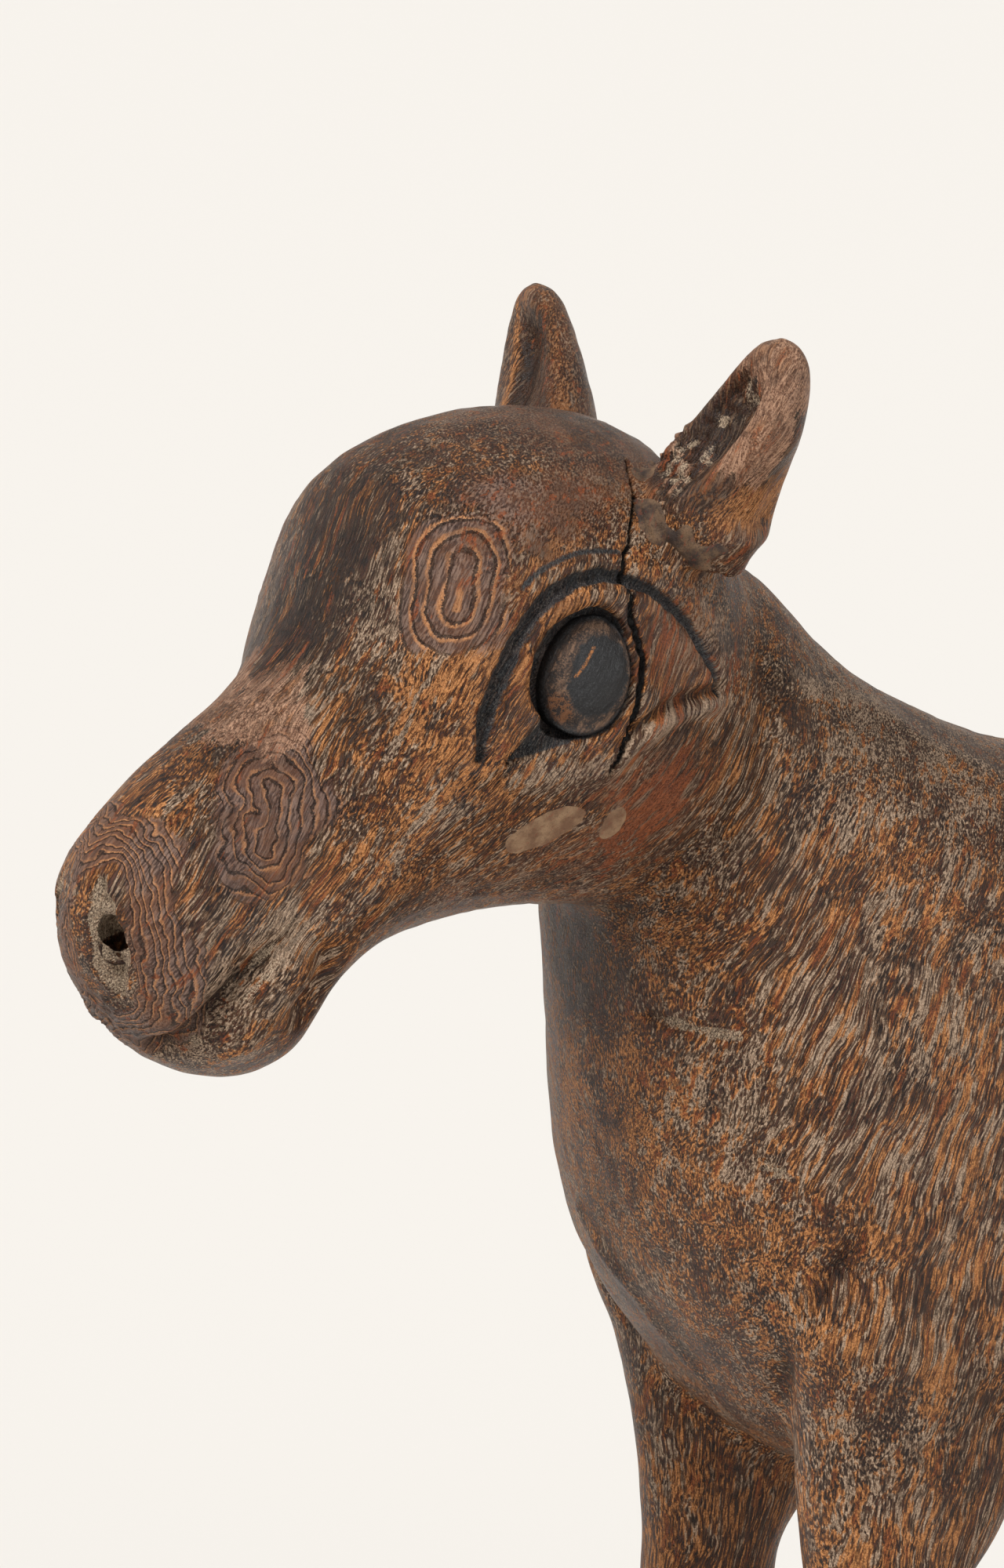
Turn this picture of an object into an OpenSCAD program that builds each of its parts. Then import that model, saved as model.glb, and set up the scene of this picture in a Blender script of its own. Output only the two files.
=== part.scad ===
// Carved hardwood statue of a calf-like animal, standing on four legs.
// It is made of carved blocks that pegs and glue hold together: a body block with the neck
// and upper legs, a head block, two ears, two inlaid eyes, four lower legs and a tail.
// Millimetres. +Z is up, the animal faces -Y and its left side is +X.
// The origin is on the floor, in the middle of the statue's length and width.

/* [Body] */
// Half of the barrel's greatest width
body_half_w = 56; // [52:1:58]
// Distance of each leg's centre line from the middle plane
leg_spread = 31; // [29:1:33]
// Height of the glue line between upper and lower legs
seam_z = 118; // [112:1:122]

/* [Head] */
// Half of the head's greatest width, at the brow
head_half_w = 43; // [41:1:44]
// Diameter of each inlaid eye
eye_d = 24; // [20:1:25]
// Diameter of the small hole drilled in each nostril
nostril_d = 5; // [3:0.5:6]

/* [Joinery] */
// Diameter of the two pegs that hold the head
neck_peg_d = 12; // [10:1:14]
// Diameter of the peg in each leg
leg_peg_d = 10; // [8:1:11]
// Diameter of the round tenon on each ear
ear_tenon_d = 14; // [12:1:16]
// Diameter of the tail's round root, which is let into the rump
tail_tenon_d = 13; // [11:1:14]
// Glue space round every peg, tenon, inlay and plug
glue_gap = 0.1; // [0.05:0.05:0.2]

/* [Facets] */
// Points round each carved section
around = 36; // [24:4:40]

/* [Hidden] */

reach = 197.5;         // from the origin to the muzzle and to the tail
round_fn = 64;         // segments of true round features
limb_fn = 24;          // points round a leg or an ear
tail_fn = 16;          // points round the tail
beyond = 12;           // how far a socket's cutter reaches out past the skin
far = 250;             // farther than any part reaches
wood = [0.36, 0.20, 0.11];
dark_wood = [0.27, 0.15, 0.10];
worn_wood = [0.55, 0.37, 0.24];
paint = [0.06, 0.06, 0.06];
filler = [0.52, 0.40, 0.30];
peg_wood = [0.72, 0.58, 0.40];

// The glue face between head and neck runs from the nape to the throat.
nape = [-60, 338];
throat = [-87, 267];

// Sections of the head from the muzzle back to the glue face. Each is
// [top y, top z, bottom y, bottom z, half width, height of widest point 0..1, squareness].
HEAD = [
    [-reach, 279, -reach, 272, 3, 0.5, 2],
    [-194.6, 287, -193.8, 262, 12.5, 0.5, 2],
    [-188.5, 293.5, -185.5, 251, 19, 0.5, 2.1],
    [-178.5, 302, -175.5, 245, 22.5, 0.5, 2.2],
    [-167.5, 310, -164.5, 243, 24, 0.45, 2.2],
    [-157, 318.5, -155.5, 247, 25.5, 0.42, 2.1],
    [-149.5, 328, -148.5, 257.5, 29.5, 0.42, 2],
    [-143.5, 341, -137, 265.5, 35.5, 0.48, 2],
    [-135.5, 356, -121, 269, 41, 0.52, 2],
    [-118, 364, -107, 269.5, head_half_w, 0.52, 2],
    [-97, 365, -98, 269, 43, 0.5, 2],
    [-77, 358, -92, 268.5, 40, 0.5, 2],
    [nape[0], nape[1], throat[0], throat[1], 35, 0.5, 2]
];

// Sections of the body from the glue face back to the rump, in the same form.
BODY = [
    [nape[0], nape[1] - 1, throat[0] + 0.4, throat[1] + 1, 33, 0.5, 2],
    [-49, 328.5, -86, 248, 36, 0.47, 2],
    [-40, 318.5, -84.5, 230, 39, 0.45, 2],
    [-29, 309, -81, 211, 44.5, 0.42, 2.1],
    [-14, 300.5, -74, 190, 50, 0.36, 2.3],
    [6, 292, -60, 170, 53.5, 0.33, 2.4],
    [28, 287.5, -42, 152, 55, 0.36, 2.5],
    [52, 285.5, -6, 139, 55.5, 0.42, 2.4],
    [78, 285, 50, 134, body_half_w, 0.47, 2.2],
    [108, 287, 100, 138, 55, 0.48, 2.1],
    [137, 290, 136, 152, 51, 0.48, 2.1],
    [160, 288, 161, 178, 44, 0.5, 2.1],
    [175, 278, 175, 203, 34, 0.5, 2],
    [181.8, 265, 181.8, 222, 20, 0.5, 2],
    [184.5, 248, 184.5, 239, 3, 0.5, 2]
];

// Level sections of a front leg from the shoulder down to the sole. Each is
// [height, x from the leg's line, y, half width, half length].
FRONT_LEG = [
    [232, -12, -32, 12, 15],
    [217, -3, -36, 16, 22],
    [202, 3, -39.5, 17, 25],
    [186, 5, -39, 17.5, 23.5],
    [172, 3, -35, 17.5, 22.5],
    [161, 1, -31, 17, 24.5],
    [150, 0, -30.5, 16, 24],
    [139, 0, -32.5, 14.8, 20.5],
    [128, 0, -36.5, 13.6, 15.2],
    [118, 0, -38, 13, 14],
    [94, 0, -39, 12.8, 13.8],
    [78, 0, -40, 13, 14.2],
    [58, 0, -39, 11.2, 11.8],
    [36, 0, -39, 11.2, 11.5],
    [24, 0, -40.5, 12.8, 14],
    [13, 0, -42.5, 14.2, 17],
    [0, 0, -44.5, 15.5, 20]
];

// Level sections of a rear leg from the haunch down to the sole, in the same form.
REAR_LEG = [
    [250, -14, 146, 12, 18],
    [228, -4, 146, 21, 30],
    [204, 0.5, 145, 23, 33],
    [180, 1.5, 143, 21.5, 30.5],
    [158, 0.5, 142, 18, 24],
    [138, 0, 143, 14.5, 18],
    [118, 0, 147, 13, 15],
    [100, 0, 152, 12.2, 14.2],
    [84, 0, 156.5, 12.2, 14.5],
    [66, 0, 155, 10.8, 12],
    [38, 0, 152, 10.8, 11.6],
    [25, 0, 149.5, 12.6, 14],
    [13, 0, 147.5, 14, 17],
    [0, 0, 145.5, 15.5, 20]
];

ear_foot_r = 12.5;     // radius of the round foot that an ear stands on
foot_sink = 5;         // depth of the foot's socket below the root point

// Leaf-shaped sections of an ear from its root to its tip:
// [distance from the root, half width, half thickness, depth of the hollow, forward bend].
EAR = [
    [5, ear_foot_r, ear_foot_r, 0, 0],
    [10, 12.4, 11.2, 1.5, 0],
    [16, 11.8, 10.2, 4, 0],
    [24, 10.3, 8.8, 5, 0],
    [32, 8, 6.8, 3.6, 0],
    [37.5, 4.8, 4.2, 1.2, 0],
    [40, 0.8, 0.8, 0, 0]
];

tail_root_z = 268;     // height of the tail's root on the rump
tail_out_y = 186;      // where the straight root ends and the tail turns down
tail_sink = 20;        // length of the root inside the body and behind it

// Round sections of the tail from its root to its tip: [y, height, radius].
TAIL = [
    [tail_out_y, tail_root_z, tail_tenon_d / 2],
    [reach - 8, tail_root_z - 4, 6.3],
    [reach - 6.2, tail_root_z - 13, 5.9],
    [reach - 5.5, 236, 5.5],
    [reach - 5.7, 212, 5.4],
    [reach - 6.6, 190, 6.4],
    [reach - 7.6, 172, 6.6],
    [reach - 7.6, 158, 4.2],
    [reach - 7.4, 152, 0.8]
];

// Centre of each ear's root, and the way the ear points: out, then back.
ear_root = [30.3, -77.5, 346];
ear_lean = 27;
ear_back = 12;
ear_sink = 14;         // reach of the tenon below the root point

// Centre of each eye and the way it looks: out to the side, and a little forward and up.
eye_at = [38.5, -109.5, 321];
eye_forward = 14;
eye_up = 6;
eye_sink = 9;
eye_dome = 4;

// Centre of each nostril on the skin, and the way its hole runs in.
nostril_at = [11, -194, 275];
nostril_turn = 33;
nostril_deep = 7;

// Plugs of filler in the left cheek: [height, y, radius].
cheek_front = [287, -112.5, 7];
cheek_back = [287, -97, 4.2];
cheek_deep = 5;

collar_d = 31;         // filler collar about the left ear's root
collar_deep = 3;       // depth of its rebate below the ear's root point
upper_share = 0.72;    // place of the upper neck peg between throat and nape
lower_share = 0.3;     // place of the lower neck peg
front_peg_y = -37.5;   // each leg peg is in the middle of its leg at the seam
rear_peg_y = 147;
neck_peg_reach = 22;   // how far a neck peg goes into each block
leg_peg_reach = 20;    // how far a leg peg goes into each block
peg_end_gap = 1;       // air left at the blind end of a bore
seam_gap = 0.05;       // glue line between two faces
below_seam_z = 100;    // the upper legs are lofted down to here, then trimmed at the seam
above_seam_z = 130;    // the lower legs are lofted from here, then trimmed at the seam

// ---------- curves and lofts ----------

function at_end(list, i) = list[max(0, min(len(list) - 1, i))];

function spline(a, b, c, d, t) =
    0.5 * (2 * b + (c - a) * t + (2 * a - 5 * b + 4 * c - d) * t * t
    + (3 * b - a - 3 * c + d) * t * t * t);

// A smooth run of sections through the given ones, with n steps between each pair.
function smooth(list, n) = concat(
    [for (i = [0:len(list) - 2], k = [0:n - 1])
        spline(at_end(list, i - 1), list[i], list[i + 1], at_end(list, i + 2), k / n)],
    [list[len(list) - 1]]
);

function signed_pow(v, e) = sign(v) * pow(abs(v), e);

// A ring in the plane that holds the section's top point, bottom point and the X axis.
function profile_ring(s) =
    let (
        top = [s[0], s[1]],
        bottom = [s[2], s[3]],
        centre = bottom + s[5] * (top - bottom)
    )
    [for (i = [0:around - 1])
        let (
            a = 360 * i / around,
            side = s[4] * signed_pow(cos(a), 2 / s[6]),
            rise = signed_pow(sin(a), 2 / s[6]),
            point = centre + rise * (rise > 0 ? top - centre : centre - bottom)
        )
        [side, point[0], point[1]]
    ];

// A level ring of a leg, whose centre line is at x = spread.
function level_ring(s, spread, n) = [for (i = [0:n - 1])
    [spread + s[1] + s[3] * cos(360 * i / n), s[2] + s[4] * sin(360 * i / n), s[0]]];

// A ring of the tail, square to its run.
function tail_ring(run, i, n) =
    let (
        before = at_end(run, i - 1),
        after = at_end(run, i + 1),
        tilt = atan2(after[1] - before[1], after[0] - before[0]),
        s = run[i]
    )
    [for (k = [0:n - 1])
        [s[2] * cos(360 * k / n), s[0] - s[2] * sin(360 * k / n) * sin(tilt),
         s[1] + s[2] * sin(360 * k / n) * cos(tilt)]];

// A ring of the ear: a thick leaf with a hollow front, which faces -Y.
function ear_ring(s, n) = [for (i = [0:n - 1])
    let (
        a = 360 * i / n,
        front = sin(a) < 0 ? pow(abs(sin(a)), 3) * s[3] : 0
    )
    [s[1] * cos(a), s[2] * sin(a) + front - s[4], s[0]]];

// A closed solid through rings that hold the same number of points. Seen along the way
// from the first ring to the last, the points of each ring run clockwise.
module loft(rings) {
    n = len(rings[0]);
    m = len(rings);
    sides = [for (j = [0:m - 2], i = [0:n - 1], half = [0, 1])
        let (a = j * n + i, b = j * n + (i + 1) % n)
        half == 0 ? [a, b, b + n] : [a, b + n, a + n]];
    first = [for (i = [0:n - 1]) n - 1 - i];
    last = [for (i = [0:n - 1]) (m - 1) * n + i];
    polyhedron(points = [for (r = rings) each r], faces = concat([first], sides, [last]));
}

// ---------- shapes that several parts share ----------

module head_skin() {
    loft([for (s = smooth(HEAD, 3)) profile_ring(s)]);
}

module trunk_skin() {
    loft([for (s = smooth(BODY, 2)) profile_ring(s)]);
}

// The part of a leg between two heights. The sections run downwards.
module leg_skin(sections, from_z, to_z) {
    run = smooth(sections, 3);
    kept = [for (s = run) if (s[0] <= from_z + 0.01 && s[0] >= to_z - 0.01) s];
    loft([for (s = kept) level_ring(s, leg_spread, limb_fn)]);
}

module place_ear() {
    translate(ear_root) rotate([-ear_back, ear_lean, 0]) children();
}

// The ear stands on a round foot, from which the leaf grows.
module ear() {
    run = smooth(EAR, 3);
    place_ear() {
        loft([for (j = [len(run) - 1:-1:0]) ear_ring(run[j], limb_fn)]);
        translate([0, 0, -foot_sink]) cylinder(r = ear_foot_r, h = foot_sink + EAR[0][0],
            $fn = round_fn);
    }
    ear_tenon(0);
}

// Turns +Z into the way the left eye looks.
module place_eye() {
    translate(eye_at) rotate([0, 0, -eye_forward]) rotate([0, 90 - eye_up, 0]) children();
}

module place_nostril() {
    translate(nostril_at) rotate([0, 0, nostril_turn]) rotate([90, 0, 0]) children();
}

module both_sides() {
    children();
    mirror([1, 0, 0]) children();
}

// A peg or its bore, centred on the glue face between head and neck.
module neck_peg_at(share, d, reach) {
    lean = atan2(nape[0] - throat[0], nape[1] - throat[1]);
    mid = throat + share * (nape - throat);
    translate([0, mid[0], mid[1]]) rotate([-lean - 90, 0, 0])
        cylinder(d = d, h = 2 * reach, center = true, $fn = round_fn);
}

module leg_peg_at(y, d, reach) {
    translate([leg_spread, y, seam_z])
        cylinder(d = d, h = 2 * reach, center = true, $fn = round_fn);
}

// Faces glued on the seam plane stop short of it by half the glue line.
module above_seam() {
    difference() {
        children();
        translate([-far, -far, -1]) cube([2 * far, 2 * far, seam_z + 1 + seam_gap / 2]);
    }
}

module below_seam() {
    difference() {
        children();
        translate([-far, -far, seam_z - seam_gap / 2]) cube([2 * far, 2 * far, far]);
    }
}

module neck_peg_bore(share) {
    neck_peg_at(share, neck_peg_d + 2 * glue_gap, neck_peg_reach + peg_end_gap);
}

module leg_peg_bore(y) {
    leg_peg_at(y, leg_peg_d + 2 * glue_gap, leg_peg_reach + peg_end_gap);
}

// The round tenon of an ear, or the bore that takes it.
module ear_tenon(extra) {
    place_ear() translate([0, 0, -ear_sink - extra])
        cylinder(d = ear_tenon_d + 2 * extra, h = ear_sink + extra, $fn = round_fn);
}

// The socket for an ear's foot, open upwards.
module ear_socket() {
    place_ear() translate([0, 0, -foot_sink - glue_gap])
        cylinder(r = ear_foot_r + glue_gap, h = foot_sink + 2 * beyond, $fn = round_fn);
    ear_tenon(glue_gap);
}

// The straight root of the tail, or the bore that takes it.
module tail_root(extra) {
    translate([0, tail_out_y, tail_root_z]) rotate([90, 0, 0])
        cylinder(d = tail_tenon_d + 2 * extra, h = tail_sink + extra, $fn = round_fn);
}

// A collar of filler that sits in a round rebate about the left ear's root.
module ear_collar(d, below) {
    place_ear() translate([0, 0, -collar_deep - below])
        cylinder(d = d, h = collar_deep + below + beyond, $fn = round_fn);
}

module cheek_plug(at, extra) {
    translate([head_half_w + 5, at[1], at[0]]) rotate([0, -90, 0])
        cylinder(r = at[2] + extra, h = beyond + cheek_deep + extra, $fn = round_fn);
}

module eye_inlay(extra) {
    place_eye() translate([0, 0, -eye_sink - extra])
        cylinder(d = eye_d + 2 * extra, h = eye_sink + beyond + extra, $fn = round_fn);
}

module tail_skin() {
    run = smooth(TAIL, 3);
    loft([for (i = [0:len(run) - 1]) tail_ring(run, i, tail_fn)]);
}

// ---------- sub-parts ----------

module body() {
    color(wood) difference() {
        above_seam() union() {
            trunk_skin();
            both_sides() {
                leg_skin(FRONT_LEG, FRONT_LEG[0][0], below_seam_z);
                leg_skin(REAR_LEG, REAR_LEG[0][0], below_seam_z);
            }
        }
        neck_peg_bore(upper_share);
        neck_peg_bore(lower_share);
        both_sides() {
            leg_peg_bore(front_peg_y);
            leg_peg_bore(rear_peg_y);
        }
        tail_root(glue_gap);
    }
}

module head() {
    color(dark_wood) difference() {
        head_skin();
        neck_peg_bore(upper_share);
        neck_peg_bore(lower_share);
        both_sides() {
            ear_socket();
            eye_inlay(glue_gap);
            place_nostril() cylinder(d = nostril_d, h = 2 * nostril_deep, center = true, $fn = round_fn / 2);
        }
        ear_collar(collar_d + 2 * glue_gap, glue_gap);
        cheek_plug(cheek_front, glue_gap);
        cheek_plug(cheek_back, glue_gap);
    }
}

module ear_left() { color(worn_wood) ear(); }

module ear_right() { color(dark_wood) mirror([1, 0, 0]) ear(); }

// A plug with a domed face.
module eye() {
    dome_r = (eye_d * eye_d / 4 + eye_dome * eye_dome) / (2 * eye_dome);
    place_eye() {
        translate([0, 0, -eye_sink]) cylinder(d = eye_d, h = eye_sink, $fn = round_fn);
        intersection() {
            translate([0, 0, eye_dome - dome_r]) sphere(r = dome_r, $fn = 2 * round_fn);
            cylinder(d = eye_d, h = 2 * eye_dome, $fn = round_fn);
        }
    }
}

module eye_left() { color(paint) eye(); }

module eye_right() { color(paint) mirror([1, 0, 0]) eye(); }

module lower_leg(sections, peg_y) {
    difference() {
        below_seam() leg_skin(sections, above_seam_z, 0);
        leg_peg_bore(peg_y);
    }
}

module lower_leg_front_left() { color(wood) lower_leg(FRONT_LEG, front_peg_y); }

module lower_leg_front_right() {
    color(wood) mirror([1, 0, 0]) lower_leg(FRONT_LEG, front_peg_y);
}

module lower_leg_rear_left() { color(wood) lower_leg(REAR_LEG, rear_peg_y); }

module lower_leg_rear_right() {
    color(wood) mirror([1, 0, 0]) lower_leg(REAR_LEG, rear_peg_y);
}

module tail() {
    color(dark_wood) {
        tail_skin();
        tail_root(0);
    }
}

module neck_peg_upper() { color(peg_wood) neck_peg_at(upper_share, neck_peg_d, neck_peg_reach); }

module neck_peg_lower() { color(peg_wood) neck_peg_at(lower_share, neck_peg_d, neck_peg_reach); }

module leg_peg_front_left() { color(peg_wood) leg_peg_at(front_peg_y, leg_peg_d, leg_peg_reach); }

module leg_peg_front_right() {
    color(peg_wood) mirror([1, 0, 0]) leg_peg_at(front_peg_y, leg_peg_d, leg_peg_reach);
}

module leg_peg_rear_left() { color(peg_wood) leg_peg_at(rear_peg_y, leg_peg_d, leg_peg_reach); }

module leg_peg_rear_right() {
    color(peg_wood) mirror([1, 0, 0]) leg_peg_at(rear_peg_y, leg_peg_d, leg_peg_reach);
}

module ear_filler_left() {
    color(filler) difference() {
        intersection() {
            head_skin();
            ear_collar(collar_d, 0);
        }
        ear_socket();
    }
}

module cheek_filler_front() {
    color(filler) intersection() {
        head_skin();
        cheek_plug(cheek_front, 0);
    }
}

module cheek_filler_back() {
    color(filler) intersection() {
        head_skin();
        cheek_plug(cheek_back, 0);
    }
}

body();
head();
ear_left();
ear_right();
eye_left();
eye_right();
lower_leg_front_left();
lower_leg_front_right();
lower_leg_rear_left();
lower_leg_rear_right();
tail();
neck_peg_upper();
neck_peg_lower();
leg_peg_front_left();
leg_peg_front_right();
leg_peg_rear_left();
leg_peg_rear_right();
ear_filler_left();
cheek_filler_front();
cheek_filler_back();
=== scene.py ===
"""The looks of a carved wooden animal on four legs: carved skins, worn stain and painted eyes.

Lengths here are millimetres, and only the meshes themselves are in metres.
The animal faces -Y, and its left is +X.
"""

import math

import bmesh
import bpy
import numpy as np
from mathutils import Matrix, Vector
from mathutils.bvhtree import BVHTree


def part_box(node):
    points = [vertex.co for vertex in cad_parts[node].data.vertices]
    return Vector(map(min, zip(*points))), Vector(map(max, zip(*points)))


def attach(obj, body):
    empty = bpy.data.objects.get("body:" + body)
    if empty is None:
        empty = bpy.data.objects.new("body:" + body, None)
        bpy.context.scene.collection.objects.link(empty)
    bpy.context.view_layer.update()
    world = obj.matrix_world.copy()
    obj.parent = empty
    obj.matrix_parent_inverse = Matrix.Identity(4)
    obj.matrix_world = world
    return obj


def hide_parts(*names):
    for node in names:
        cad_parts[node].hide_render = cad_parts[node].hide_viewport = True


MM = 0.001
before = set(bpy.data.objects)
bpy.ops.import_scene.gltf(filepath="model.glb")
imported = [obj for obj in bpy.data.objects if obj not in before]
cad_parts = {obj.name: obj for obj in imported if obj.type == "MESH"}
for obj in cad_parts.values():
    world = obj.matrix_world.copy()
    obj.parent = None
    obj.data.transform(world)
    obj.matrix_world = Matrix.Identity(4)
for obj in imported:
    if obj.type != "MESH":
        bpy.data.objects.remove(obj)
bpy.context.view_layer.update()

# ---------- places taken from the frame ----------


def corners(node):
    """Lowest and highest corner of a CAD node, in millimetres."""
    return [np.array(c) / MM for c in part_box(node)]


def middle(node):
    low, high = corners(node)
    return (low + high) / 2


EYE = middle("eye_left")                              # the left eye; the right one mirrors it in X
NAPE = np.array([0, EYE[1] + 48.4, EYE[2] + 17.5])    # the neck seam's plane goes through these two
THROAT = np.array([0, EYE[1] + 21.4, EYE[2] - 53.5])
SEAM_Z = corners("lower_leg_front_left")[1][2]        # where the lower legs are pegged on
SEAM_GAP = 0.05                                       # glue line between two pieces
LEGS = ("front_left", "front_right", "rear_left", "rear_right")

# ---------- mesh arrays ----------


def coords(mesh):
    """Vertex places in millimetres."""
    flat = np.empty(len(mesh.vertices) * 3, np.float32)
    mesh.vertices.foreach_get("co", flat)
    return flat.reshape(-1, 3).astype(float) / MM


def set_coords(mesh, co):
    mesh.vertices.foreach_set("co", (co * MM).astype(np.float32).ravel())
    mesh.update()


def normals(mesh):
    flat = np.empty(len(mesh.vertices) * 3, np.float32)
    mesh.vertex_normals.foreach_get("vector", flat)
    return flat.reshape(-1, 3).astype(float)


def edge_ends(mesh):
    flat = np.empty(len(mesh.edges) * 2, np.int32)
    mesh.edges.foreach_get("vertices", flat)
    return flat.reshape(-1, 2).T


def blend(mesh, shares):
    """Moves every vertex towards the middle of its neighbours, once for each share of the way."""
    co = coords(mesh)
    a, b = edge_ends(mesh)
    n = len(co)
    count = (np.bincount(a, minlength=n) + np.bincount(b, minlength=n))[:, None]
    for share in shares:
        near = np.stack([np.bincount(a, co[b, k], n) + np.bincount(b, co[a, k], n) for k in range(3)], 1)
        co += share * (near / count - co)
    set_coords(mesh, co)


def relax(mesh, rounds, soften=0.5, restore=-0.53):
    """Evens out a skin without shrinking it: each round softens it and then swells it back."""
    blend(mesh, (soften, restore) * rounds)


def link(mesh, name):
    obj = bpy.data.objects.new(name, mesh)
    bpy.context.scene.collection.objects.link(obj)
    return obj


def applied(obj):
    """The mesh of an object with its modifiers applied. The object itself goes."""
    mesh = bpy.data.meshes.new_from_object(obj.evaluated_get(bpy.context.evaluated_depsgraph_get()))
    bpy.data.objects.remove(obj)
    return mesh


def keep_only(mesh, keep):
    """Deletes the vertices that aren't to keep."""
    bm = bmesh.new()
    bm.from_mesh(mesh)
    bm.verts.ensure_lookup_table()
    bmesh.ops.delete(bm, geom=[bm.verts[i] for i in np.nonzero(~keep)[0]], context="VERTS")
    bm.to_mesh(mesh)
    bm.free()


def largest_shell(mesh):
    """Drops the small closed bits that a remesh leaves round the pegs inside."""
    a, b = edge_ends(mesh)
    label = np.arange(len(mesh.vertices))
    while True:
        low = np.minimum(label[a], label[b])
        new = label.copy()
        np.minimum.at(new, a, low)
        np.minimum.at(new, b, low)
        new = new[new]
        if (new == label).all():
            break
        label = new
    keep_only(mesh, label == np.bincount(label).argmax())


def skin_of(nodes, voxel, rounds, beyond=None):
    """One even skin round several CAD nodes, made twice as fine.

    `beyond` is a point and a normal: what lies past that plane is cut off.
    """
    bm = bmesh.new()
    for n in nodes:
        bm.from_mesh(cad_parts[n].data)
    mesh = bpy.data.meshes.new("skin")
    bm.to_mesh(mesh)
    bm.free()
    obj = link(mesh, "skin")
    remesh = obj.modifiers.new("remesh", "REMESH")
    remesh.mode = "VOXEL"
    remesh.voxel_size = voxel * MM
    mesh = applied(obj)
    if beyond is not None:
        cut(mesh, *beyond, cap=False)
    largest_shell(mesh)
    relax(mesh, rounds)
    obj = link(mesh, "skin")
    finer = obj.modifiers.new("finer", "SUBSURF")
    finer.levels = 1
    return applied(obj)


def cut(mesh, point, normal, cap=True):
    """Cuts away what lies beyond a plane, on the side its normal points to, and closes the cut."""
    bm = bmesh.new()
    bm.from_mesh(mesh)
    done = bmesh.ops.bisect_plane(bm, geom=bm.verts[:] + bm.edges[:] + bm.faces[:], dist=1e-7,
                                  plane_co=Vector(point) * MM, plane_no=Vector(normal), clear_outer=True)
    rim = [g for g in done["geom_cut"] if isinstance(g, bmesh.types.BMEdge)]
    if cap:
        for e in rim:
            e.smooth = False
        for f in bmesh.ops.holes_fill(bm, edges=rim, sides=0)["faces"]:
            f.smooth = False
    bm.to_mesh(mesh)
    bm.free()


# ---------- soft masks and curves ----------


def ramp(value, start, end):
    """0 at start, 1 at end, smooth between."""
    t = np.clip((value - start) / (end - start), 0, 1)
    return t * t * (3 - 2 * t)


def bell(value, width):
    """1 where the value is 0, and falling off to both sides over about the width."""
    return np.exp(-(value / width) ** 2)


def curve(points, steps=10):
    """A smooth run through a few points (Catmull-Rom)."""
    p = np.array(points, float)
    p = np.vstack([2 * p[0] - p[1], p, 2 * p[-1] - p[-2]])
    run = []
    for i in range(1, len(p) - 2):
        for t in np.arange(steps) / steps:
            run.append(0.5 * (2 * p[i] + (p[i + 1] - p[i - 1]) * t
                              + (2 * p[i - 1] - 5 * p[i] + 4 * p[i + 1] - p[i + 2]) * t * t
                              + (3 * p[i] - p[i - 1] - 3 * p[i + 1] + p[i + 2]) * t ** 3))
    run.append(p[-2])
    return np.array(run)


def nearest(run, at):
    """For each place: how far the run is, and how far along the run (0 to 1) its nearest point lies."""
    far = np.full(len(at), 1e3)
    share = np.zeros(len(at))
    low, high = run.min(0) - 15, run.max(0) + 15
    close = np.nonzero(((at > low) & (at < high)).all(1))[0]
    if len(close) and len(run) > 1:
        a, step = run[:-1], np.diff(run, axis=0)
        size = (step ** 2).sum(1)
        for part in np.array_split(close, max(1, len(close) // 20000)):
            off = at[part][:, None] - a[None]
            t = np.clip((off * step).sum(2) / size, 0, 1)
            d = np.linalg.norm(off - t[..., None] * step, axis=2)
            best = d.argmin(1)
            rows = np.arange(len(part))
            far[part] = d[rows, best]
            share[part] = (best + t[rows, best]) / len(step)
    return far, share


def hash_noise(p, seed):
    """Smooth noise between -1 and 1 with features about one unit across."""
    base = np.floor(p).astype(np.int64)
    t = p - base
    t = t * t * (3 - 2 * t)
    total = np.zeros(len(p))
    for corner in range(8):
        pick = np.array([corner >> k & 1 for k in range(3)])
        q = base + pick
        h = (q[:, 0] * 73856093) ^ (q[:, 1] * 19349663) ^ (q[:, 2] * 83492791) ^ (seed * 2654435761)
        h = (h ^ (h >> 13)) * 1274126177 & 0xFFFFFFFF
        h = (h ^ (h >> 16)) & 0xFFFF
        weight = np.prod(np.where(pick, t, 1 - t), axis=1)
        total += weight * (h / 32767.5 - 1)
    return total


# ---------- carving ----------

EYE_SIDE = np.array([EYE[1] - 1.1, EYE[2]])   # where the eyes sit, seen from the side
SOCKET = (9.4, 11.8)                          # half width and half height of an eye socket
EYEBALL = (8.5, 11.4)                         # and of the eyeball in it
EYEBALL_SHIFT = np.array([0.9, -0.3])         # the eyeball sits to the rear in its socket
EYEBALL_TILT = math.radians(17)               # its top leans back
EYEBALL_TAPER = 0.10                          # and is this share narrower
SCRATCH = [(-2.9, 0.2), (-0.9, 2.8), (1.0, 5.4)]
NOT_HERE = 99                                 # stands for a distance beyond the reach of any cut

# Lines cut on the flank, as Y and Z from the eye socket's middle.
BROW = [(-22, -14), (-20.5, -4), (-13, 10), (-2, 17.5), (10, 17), (22, 9.5), (29, -1), (30.5, -7)]
UPPER_BROW = [(-12, 17), (-7.5, 20), (1, 22.5), (9.5, 22)]
TEAR_CORNER = [(-5, -8), (-11, -11.5), (-16.5, -15)]
LOWER_LID = [(-15, -19), (0, -19.5), (4, -19)]
CHEEK_RIDGE = [(4, -19), (10, -14), (17, -10.5), (25, -9), (35, -8.5)]
EYE_CRACK = [(20, 36), (17, 30), (11.5, 22), (9.5, 18), (10, 14), (9, 11), (11.5, 2), (10, -6),
             (8.5, -12), (5, -19)]

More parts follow.
